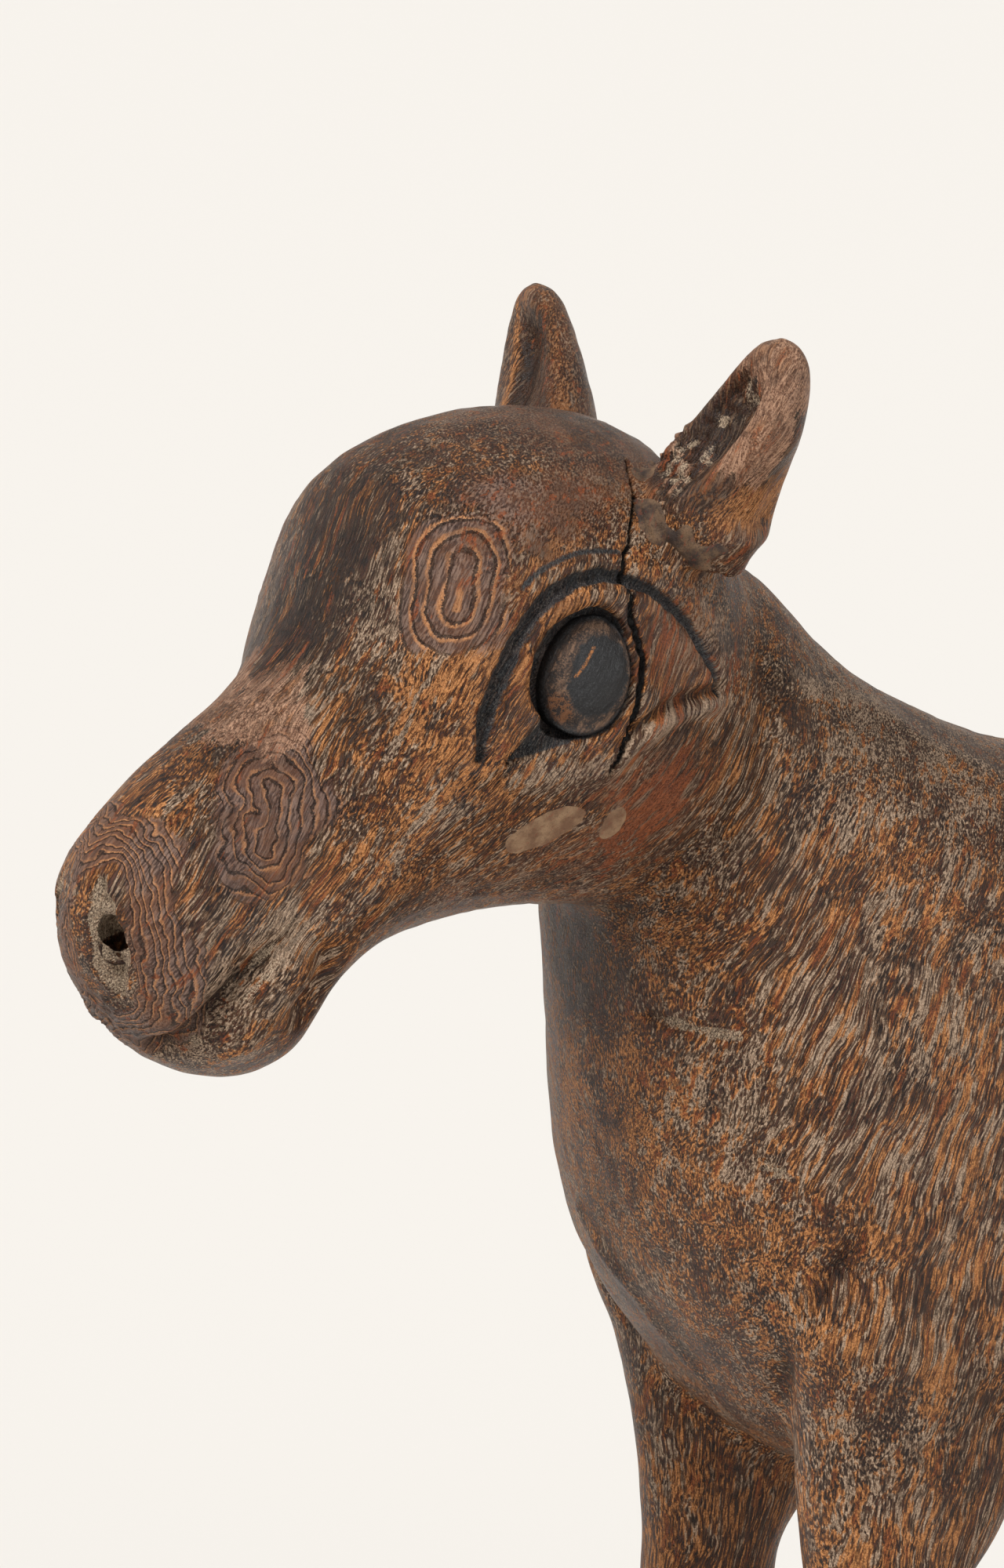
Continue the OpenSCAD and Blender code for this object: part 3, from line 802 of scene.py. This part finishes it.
    # Darker where the mark dark is set: darker stain, and painted shade in hollows, creases and underneath.
    darker_stain_and_shade = g.ramp(g.vary(broad, 1.2, value["dark"]), 0.0, 0.9, 1.0, 0.55)
    colour = g.shade(colour, darker_stain_and_shade)
    glaze = g.vary(hue_marks, 4.5, value["red"])
    glaze = g.ramp(g.vary(fine, 0.5, glaze), 0.50, 0.72)
    red = g.mix(g.ramp(g.add(short_marks, 0.6, fine), 0.6, 1.0), srgb(84, 38, 18), srgb(158, 82, 38))
    colour = g.mix(g.times(glaze, 0.75), colour, red)
    tan = g.vary(hue_marks, 1.6, value["tan"])
    tan = g.ramp(g.vary(fine, 0.8, tan), 0.42, 0.54)
    tan_wood = g.mix(g.ramp(g.add(long_marks, 0.8, fine), 0.72, 1.05), srgb(104, 68, 48), srgb(188, 146, 118))
    tan_wood = g.mix(g.ramp(g.add(hue_marks, 0.8, fine), 1.0, 1.16), tan_wood, srgb(150, 78, 36))
    tan_shows = g.times(tan, g.ramp(g.add(hue_marks, 0.8, blotch_two), 0.84, 1.02, 0.92, 0.4))
    colour = g.mix(tan_shows, colour, tan_wood)
    raw = g.ramp(g.vary(fine, 1.3, value["raw"]), 0.30, 0.60)
    raw_wood = g.mix(g.ramp(g.add(grit, 0.4, fine), 0.54, 0.86), srgb(70, 50, 36), RAW_WOOD)
    colour = g.mix(g.times(raw, 0.85), colour, raw_wood)

    # Paint and cracks.
    ragged = g.vary(fine, 1.3, value["paint"])
    paint = g.times(g.ramp(ragged, -0.15, 0.25), g.ramp(grit, 0.28, 0.40, 0.45, 0.95))
    chalky_paint = g.mix(g.ramp(g.add(grit, 0.3, fine), 0.60, 0.86), BLACK_PAINT, srgb(92, 92, 90))
    colour = g.mix(paint, colour, chalky_paint)
    crack = g.ramp(g.vary(fine, 0.35, value["crack"]), 0.62, 0.38)
    colour = g.mix(crack, colour, srgb(14, 11, 10))
    uneven = g.math("SUBTRACT", 1.0, g.times(g.math("MAXIMUM", value["smooth"], open_ring), 0.75))
    furrow = g.times(g.ramp(furrows, 0.030, 0.0), uneven)
    tone = g.add(furrow, -0.45, g.ramp(grit, 0.25, 0.75, 0.76, 1.24))
    g.put(g.shader.inputs["Base Color"], g.shade(colour, tone))

    # Satin stain, duller where it is bare; fibres, furrows and plate edges stand in relief.
    dull = g.math("MAXIMUM", light, g.math("MAXIMUM", raw, tan))
    roughness = g.add(dull, 0.18, g.ramp(fine, 0.3, 0.7, 0.28, 0.44))
    g.put(g.shader.inputs["Roughness"], g.add(value["smooth"], -0.10, roughness))
    g.put(g.shader.inputs["Specular IOR Level"], 0.32)
    relief = g.times(g.ramp(edge, 0.50, 0.72), uneven)
    relief = g.add(furrow, -0.8, relief)
    relief = g.add(fine, 0.7, relief)
    relief = g.add(crack, -2.0, relief)
    relief = g.add(g.times(groove, open_ring), -1.5, relief)
    g.bump(relief, 0.30)
    return g.material


def crusty_filler(name, light, dark, lumps):
    """Putty pressed into a hollow, stained with the rest."""
    g = Graph(name)
    mm = g.place()
    cloud = g.noise(mm, 0.22, 4, 0.6)
    drag = g.noise(g.vmath("MULTIPLY", g.vector("grain"), (1.2, 1.2, 0.16)), 1.0, 3, 0.6)
    grit = g.noise(mm, 2.6, 4, 0.7)
    colour = g.mix(g.ramp(cloud, 0.35, 0.65), dark, light)
    colour = g.mix(g.ramp(drag, 0.55, 0.72, 0.0, 0.6), colour, RUBBED_RED)
    colour = g.mix(g.ramp(grit, 0.52, 0.70, 0.0, lumps), colour, STAIN_DARK)
    g.put(g.shader.inputs["Base Color"], colour)
    g.put(g.shader.inputs["Roughness"], g.ramp(grit, 0.2, 0.8, 0.5, 0.75))
    g.bump(g.math("ADD", g.times(grit, lumps + 0.3), g.times(drag, 0.4)), 0.22)
    return g.material


def eye_paint():
    """A painted eyeball: rubbed brown-grey wood with a black pupil."""
    g = Graph("eye_paint")
    mm = g.place()
    fine = g.noise(mm, 2.8, 3, 0.7)
    drag = g.noise(g.vmath("MULTIPLY", g.vector("grain"), (1.5, 1.5, 0.25)), 1.0, 3, 0.6)
    wood = g.mix(g.ramp(g.add(fine, 0.5, drag), 0.55, 1.0), srgb(50, 34, 25), srgb(128, 98, 76))
    wood = g.mix(g.ramp(g.vary(fine, 1.2, g.value("worn")), 0.3, 0.8, 0.0, 0.7), wood,
                 srgb(128, 78, 40))
    grime = g.noise(mm, 0.45, 4, 0.7)
    stains = g.ramp(g.add(fine, 0.5, grime), 0.78, 0.66)
    wood = g.mix(stains, wood, srgb(36, 26, 22))
    rim = g.ramp(g.vary(fine, 1.4, g.value("rim")), 0.0, 1.0)
    pupil = g.ramp(g.vary(grime, 4.5, g.value("pupil")), -0.1, 0.6)
    black = g.mix(g.ramp(g.add(drag, 0.6, fine), 0.75, 1.05), srgb(18, 18, 21), srgb(58, 58, 60))
    scratch = g.ramp(g.vary(fine, 0.9, g.value("scratch")), 0.36, 0.12)
    colour = g.mix(g.math("MAXIMUM", pupil, rim), wood, black)
    colour = g.mix(g.times(scratch, 0.9), colour, srgb(176, 112, 56))
    g.put(g.shader.inputs["Base Color"], colour)
    g.put(g.shader.inputs["Roughness"], g.ramp(fine, 0.2, 0.8, 0.38, 0.56))
    g.bump(g.math("ADD", g.times(drag, 0.9), g.math("ADD", fine, grime)), 0.30)
    return g.material


def pale_peg():
    """Turned peg of pale wood, with its grain along it."""
    g = Graph("peg_wood")
    mm = g.place()
    streak = g.noise(g.vmath("MULTIPLY", mm, (1.4, 1.4, 0.12)), 1.0, 3, 0.6)
    g.put(g.shader.inputs["Base Color"], g.mix(streak, srgb(150, 116, 76), srgb(206, 176, 130)))
    g.put(g.shader.inputs["Roughness"], 0.6)
    g.bump(streak, 0.1)
    return g.material


# ---------- pieces ----------

WOOD = stained_wood("stained_wood")
EAR_WOOD = stained_wood("ear_wood")
EYE_PAINT = eye_paint()
CHEEK_PUTTY = crusty_filler("cheek_putty", srgb(152, 121, 90), srgb(112, 78, 52), 0.4)
EAR_PUTTY = crusty_filler("ear_putty", srgb(118, 90, 64), srgb(46, 30, 21), 1.0)
PEG_WOOD = pale_peg()


def piece(mesh, node, material):
    """Shows a mesh in place of a CAD node."""
    for p in mesh.polygons:
        p.material_index = 0
    mesh.materials.clear()
    mesh.materials.append(material)
    obj = link(mesh, node + "_skin")
    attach(obj, "root")
    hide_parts(node)
    return obj


def smooth_faces(mesh):
    mesh.polygons.foreach_set("use_smooth", np.ones(len(mesh.polygons), bool))


def part_of(mesh, keep):
    """A copy of the mesh with only the vertices to keep."""
    copy = mesh.copy()
    keep_only(copy, keep)
    return copy


EAR_ROOT = corners("ear_left")[0] + np.array([13.4, 13.3, 15.6])
OUT, BACK = math.radians(27), math.radians(12)    # how far the left ear leans out and back
EAR_ACROSS = np.array([math.cos(OUT), 0, -math.sin(OUT)])
EAR_UP = np.array([math.cos(BACK) * math.sin(OUT), math.sin(BACK), math.cos(BACK) * math.cos(OUT)])
EAR_FRONT = np.array([math.sin(BACK) * math.sin(OUT), -math.cos(BACK), math.sin(BACK) * math.cos(OUT)])
EAR_TALL = 40
LEG_X = 31                                        # distance of a leg's centre line from the middle plane
HOOF_FRONTS = (-64.5, 120)                        # Y of the toes of the front and the rear hooves
SOLE_REACH = 0.7                                  # skin this close to the floor belongs to a sole


def carve_ears(c):
    """Each ear is hollowed in front, with painted shade in the hollow; the left one is crusted inside and
    worn pale along its outer rim.
    """
    off = np.column_stack([np.abs(c.co[:, 0]), c.co[:, 1:]]) - EAR_ROOT
    up, across = off @ EAR_UP, off @ EAR_ACROSS
    facing = np.column_stack([np.where(c.left, 1, -1) * c.no[:, 0], c.no[:, 1:]]) @ EAR_FRONT
    on_ear = ramp(up, 2, 7) * ramp(np.hypot(across, off @ EAR_FRONT), 22, 18)
    half_width = 12 * np.sqrt(np.clip(1 - ((up - 6) / (EAR_TALL - 5)) ** 2, 0.02, 1))
    shift = np.where(c.left, -0.22, -0.45)
    inside = 1 - np.abs(across / half_width - shift) / 0.62
    facing_enough = np.where(c.left, ramp(facing, 0.1, 0.5), ramp(facing, -0.45, 0.1))
    hollow = on_ear * ramp(inside, 0, 0.55) * facing_enough * ramp(up, EAR_TALL - 4, EAR_TALL - 14)
    c.raise_by(-2.6 * hollow)
    c.raise_by(-3.0 * on_ear * c.left * ramp(up, 26, 12) * ramp(across, 4, 11))
    c.mark("dark", 0.8 * on_ear * c.left * ramp(across / half_width, 0.7, 1.0) * ramp(up, 10, 16))
    c.mark("smooth", 0.75 * on_ear)
    # Painted shade in each ear's hollow, deeper in the right one.
    c.mark("dark", np.where(c.left, 0.7, 1.7) * hollow)
    crust = hollow * c.left
    c.raise_by(1.3 * np.abs(c.waver(2.4, 51)) * crust)
    c.mark("raw", (0.8 * np.clip(c.waver(2.2, 52) + 0.2, 0, 1)) * crust)
    c.mark("dark", 0.9 * crust)
    crumbs = on_ear * c.left * ramp(up, 17, 9) * ramp(across, 5, -1) * ramp(facing, -0.1, 0.4)
    lump = np.abs(c.waver(2.3, 53)) + 0.5 * np.abs(c.waver(1.2, 54))
    c.raise_by(1.5 * lump * crumbs)
    c.mark("smooth", -0.6 * crumbs)
    c.mark("tan", 0.7 * crumbs * ramp(lump, 0.35, 0.6))
    c.mark("dark", 0.9 * crumbs * ramp(lump, 0.4, 0.1))
    rim = on_ear * c.left * ramp(across / half_width, 0.15, 0.5) * ramp(facing, -0.5, 0.1)
    tip = on_ear * c.left * ramp(up, 26, 34)
    c.mark("tan", np.maximum(rim * ramp(up, 10, 18), tip) * 0.95)
    low = on_ear * c.left * ramp(up, 22, 14) * ramp(across, 0, 5) * ramp(facing, 0.9, 0.5)
    c.mark("orange", low)
    c.mark("smooth", -0.7 * low)
    edge = bell(np.abs(across / half_width - shift) - 0.66, 0.10) * facing_enough * ~c.left
    c.mark("orange", 1.6 * on_ear * edge)
    c.mark("smooth", -0.8 * on_ear * edge)


def carved(mesh, *steps):
    """Weathers a skin and carves it, step by step."""
    c = Carving(mesh)
    weather(c)
    for step in steps:
        step(c)
    c.finish()


def flat_soles(c):
    """Nothing is carved off the soles, which stand flat on the floor."""
    near_floor = c.co[:, 2] < SOLE_REACH
    c.lift[near_floor] = 0
    c.co[near_floor, 2] = 0


def carve_hooves(c):
    """A shallow step above each hoof and a notch between its two toes."""
    z = c.co[:, 2]
    c.raise_by(-0.8 * bell(z - 17, 1.6))
    c.mark("dark", 0.5 * ramp(z, 20, 14))
    for front in HOOF_FRONTS:
        toe = np.hypot(np.abs(c.co[:, 0]) - LEG_X, (c.co[:, 1] - front) / 3)
        c.raise_by(-1.4 * ramp(toe, 2.6, 0.3) * ramp(z, 15, 9))


def head_and_ears():
    """Carves the head skin and cuts it into head and ears. Gives back a copy from before the cuts."""
    carved(head_skin, carve_figures, carve_eyes, carve_muzzle, carve_neck_and_chest, carve_ears)
    whole = head_skin.copy()
    cut(head_skin, NAPE, neck_normal)
    for side, name in ((1, "left"), (-1, "right")):
        lean = np.array([0.71 * side, 0.45, 0.54])
        root = EAR_ROOT * np.array([side, 1, 1]) + lean * 1.5
        ear = head_skin.copy()
        cut(ear, root, -lean)
        cut(head_skin, root, lean)
        piece(ear, "ear_" + name, EAR_WOOD)
    piece(head_skin, "head", WOOD)
    return whole


def body_and_legs():
    """Carves the body skin and cuts it at the seams into body and lower legs."""
    carved(body_skin, carve_figures, carve_neck_and_chest, carve_hooves, flat_soles)
    low = body_skin.copy()
    cut(low, (0, 0, SEAM_Z), (0, 0, 1))
    cut(body_skin, (0, 0, SEAM_Z + SEAM_GAP), (0, 0, -1))
    cut(body_skin, NAPE + neck_normal * SEAM_GAP, -neck_normal)
    piece(body_skin, "body", WOOD)
    co = coords(low)
    for leg in LEGS:
        middle_of_leg = middle("lower_leg_" + leg)
        here = (np.sign(co[:, 0]) == np.sign(middle_of_leg[0])) & (np.abs(co[:, 1] - middle_of_leg[1]) < 60)
        piece(part_of(low, here), "lower_leg_" + leg, WOOD)


def tail():
    carved(tail_skin)
    piece(tail_skin, "tail", WOOD)


def eyeball(side, node):
    """An egg-shaped eyeball bulging from its socket."""
    rings, around = 26, 72
    places, faces = [], []
    tilt_c, tilt_s = math.cos(EYEBALL_TILT), math.sin(EYEBALL_TILT)
    for i in range(rings + 1):
        r = math.sin(i / rings * math.pi / 2)
        for k in range(around):
            a = 2 * math.pi * k / around
            up = EYEBALL[1] * math.sin(a) * r
            across = EYEBALL[0] * (1 - EYEBALL_TAPER * up / EYEBALL[1]) * math.cos(a) * r
            y = EYE_SIDE[0] + EYEBALL_SHIFT[0] + across * tilt_c + up * tilt_s
            z = EYE_SIDE[1] + EYEBALL_SHIFT[1] - across * tilt_s + up * tilt_c
            hit = head_before.ray_cast(Vector((80, y, z)), Vector((-1, 0, 0)))[0]
            x = hit.x - 1.6 + 2.5 * math.sqrt(max(0, 1 - r * r)) ** 0.8
            places.append((x, y, z))
    for k in range(around):
        places.append((places[rings * around + k][0] - 4, *places[rings * around + k][1:]))
    for i in range(rings + 1):
        for k in range(around):
            j = (k + 1) % around
            faces.append((i * around + k, i * around + j, (i + 1) * around + j, (i + 1) * around + k))
    faces.append(tuple((rings + 1) * around + k for k in range(around)))
    co = np.array(places)
    co[:, 0] *= side
    mesh = bpy.data.meshes.new(node)
    mesh.from_pydata([tuple(p * MM) for p in co], [], faces if side > 0 else [f[::-1] for f in faces])
    bm = bmesh.new()
    bm.from_mesh(mesh)
    bmesh.ops.remove_doubles(bm, verts=bm.verts, dist=1e-6)
    bmesh.ops.recalc_face_normals(bm, faces=bm.faces)
    bm.to_mesh(mesh)
    bm.free()
    smooth_faces(mesh)
    co = coords(mesh)
    seen = co[:, 1:] - EYE_SIDE
    outside = egg(seen - EYEBALL_SHIFT, EYEBALL)[0]
    off = seen - EYEBALL_SHIFT - np.array([1.1, 0.0])
    up = off[:, 0] * tilt_s + off[:, 1] * tilt_c
    across = off[:, 0] * tilt_c - off[:, 1] * tilt_s
    pupil = (1 - np.hypot(across / 6.2, up / 8.3)) * 6.2
    scratch = nearest(curve(SCRATCH), seen)[0]
    values = {
        "pupil": pupil, "rim": outside + 1.3, "scratch": scratch,
        "worn": ramp(np.hypot(seen[:, 0] + 6.5, seen[:, 1] + 6.5), 5.5, 1.5),
    }
    lift = 0.35 * hash_noise(co / 3.4, 61) + 0.15 * hash_noise(co / 1.3, 62) - 0.4 * ramp(pupil, -0.3, 0.6)
    co[:, 0] += lift * side * (outside < -0.5)
    set_coords(mesh, co)
    store(mesh, values, co)
    piece(mesh, node, EYE_PAINT)


def patch(whole, node, inside, material, proud, thick):
    """Putty over a part of the skin: `inside` is how far inside its edge each vertex lies, in millimetres."""
    mesh = part_of(whole, inside > 0)
    inside = inside[inside > 0]
    co, no = coords(mesh), normals(mesh)
    lumps = 0.22 * hash_noise(co / 2.6, 71) + 0.22 * hash_noise(co / 1.3, 72)
    rise = ramp(inside, 0, 2.2)
    set_coords(mesh, co + no * ((proud + lumps * proud * 2) * rise - 0.35 * (1 - rise))[:, None])
    obj = link(mesh, "patch")
    shell = obj.modifiers.new("shell", "SOLIDIFY")
    shell.thickness = thick * MM
    shell.offset = -1
    mesh = applied(obj)
    smooth_faces(mesh)
    piece(mesh, node, material)


def fillers(whole):
    """Putty on the left cheek and round the root of the left ear, laid over a copy of the whole head."""
    co = coords(whole)
    seen = co[:, 1:] - EYE_SIDE
    edge = 1.1 * hash_noise(co / 4, 81) + 0.5 * hash_noise(co / 1.7, 82)
    left = co[:, 0] > 20
    for node, centre, half, lean in (("cheek_filler_front", (-5.5, -29.5), (9.0, 5.2), 0.30),
                                     ("cheek_filler_back", (9.0, -30), (3.4, 4.6), 0.2)):
        y, z = seen[:, 0] - centre[0], seen[:, 1] - centre[1]
        reach = (1 - np.hypot(y / half[0], (z - lean * y) / half[1])) * half[1] + edge * 0.6
        patch(whole, node, np.where(left, reach, -1), CHEEK_PUTTY, 0.25, 1.2)
    off = co - EAR_ROOT
    up = off @ EAR_UP
    far = np.linalg.norm(off - up[:, None] * EAR_UP, axis=1)
    front = ramp(off @ EAR_FRONT, -7, 6)
    reach = np.minimum(16.5 - far, np.minimum(up + 5, 4.0 - up)) * 0.6 + edge * 1.9 - 4 * (1 - front)
    patch(whole, "ear_filler_left", np.where(co[:, 0] > 8, reach, -1), EAR_PUTTY, 0.35, 1.3)


def pegs():
    """The pegs are round and hidden in their bores, so they stay the CAD's own."""
    for name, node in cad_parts.items():
        if "peg" in name:
            node.data.materials.clear()
            node.data.materials.append(PEG_WOOD)


for skin in (head_skin, body_skin, tail_skin):
    smooth_faces(skin)
whole_head = head_and_ears()
body_and_legs()
tail()
eyeball(1, "eye_left")
eyeball(-1, "eye_right")
fillers(whole_head)
pegs()

# ---------- floor, light and camera ----------


def plain(name, colour, roughness):
    material = bpy.data.materials.new(name)
    material.use_nodes = True
    shader = material.node_tree.nodes["Principled BSDF"]
    shader.inputs["Base Color"].default_value = (*colour, 1)
    shader.inputs["Roughness"].default_value = roughness
    return material


def soft_sun(name, towards, strength, width):
    """A far, wide lamp, so that floor and animal are lit alike. `width` is in degrees."""
    data = bpy.data.lights.new(name, "SUN")
    data.energy = strength
    data.angle = math.radians(width)
    lamp = bpy.data.objects.new(name, data)
    lamp.rotation_euler = Vector(towards).to_track_quat("Z", "Y").to_euler()
    bpy.context.scene.collection.objects.link(lamp)


def studio():
    bpy.ops.mesh.primitive_plane_add(size=60)
    floor = bpy.context.object
    floor.name = "floor"
    floor.data.materials.append(plain("floor_paper", srgb(230, 227, 223), 0.9))
    world = bpy.data.worlds.new("studio")
    world.use_nodes = True
    world.node_tree.nodes["Background"].inputs["Color"].default_value = (*srgb(245, 242, 236), 1)
    world.node_tree.nodes["Background"].inputs["Strength"].default_value = 0.55
    bpy.context.scene.world = world
    soft_sun("key", (0.25, -0.95, 1.25), 2.5, 18)
    soft_sun("fill", (1.0, 0.35, 0.55), 0.5, 60)


CAMERA_TURN, CAMERA_RISE = 60, 11    # degrees to the animal's left of its nose, and above level
CAMERA_AWAY = 1.6                    # metres from the camera to what it looks at


def camera():
    """A long lens from the left front, a little above the animal."""
    turn, rise = math.radians(CAMERA_TURN), math.radians(CAMERA_RISE)
    target = Vector((0, EYE[1] + 4.4, EYE[2] - 28)) * MM
    back = Vector((math.sin(turn) * math.cos(rise), -math.cos(turn) * math.cos(rise), math.sin(rise)))
    data = bpy.data.cameras.new("camera")
    data.sensor_fit = "VERTICAL"
    data.sensor_height = 24
    data.lens = 128
    cam = bpy.data.objects.new("camera", data)
    cam.location = target + back * CAMERA_AWAY
    cam.rotation_euler = back.to_track_quat("Z", "Y").to_euler()
    bpy.context.scene.collection.objects.link(cam)
    bpy.context.scene.camera = cam


studio()
camera()
bpy.context.scene.view_settings.view_transform = "Standard"
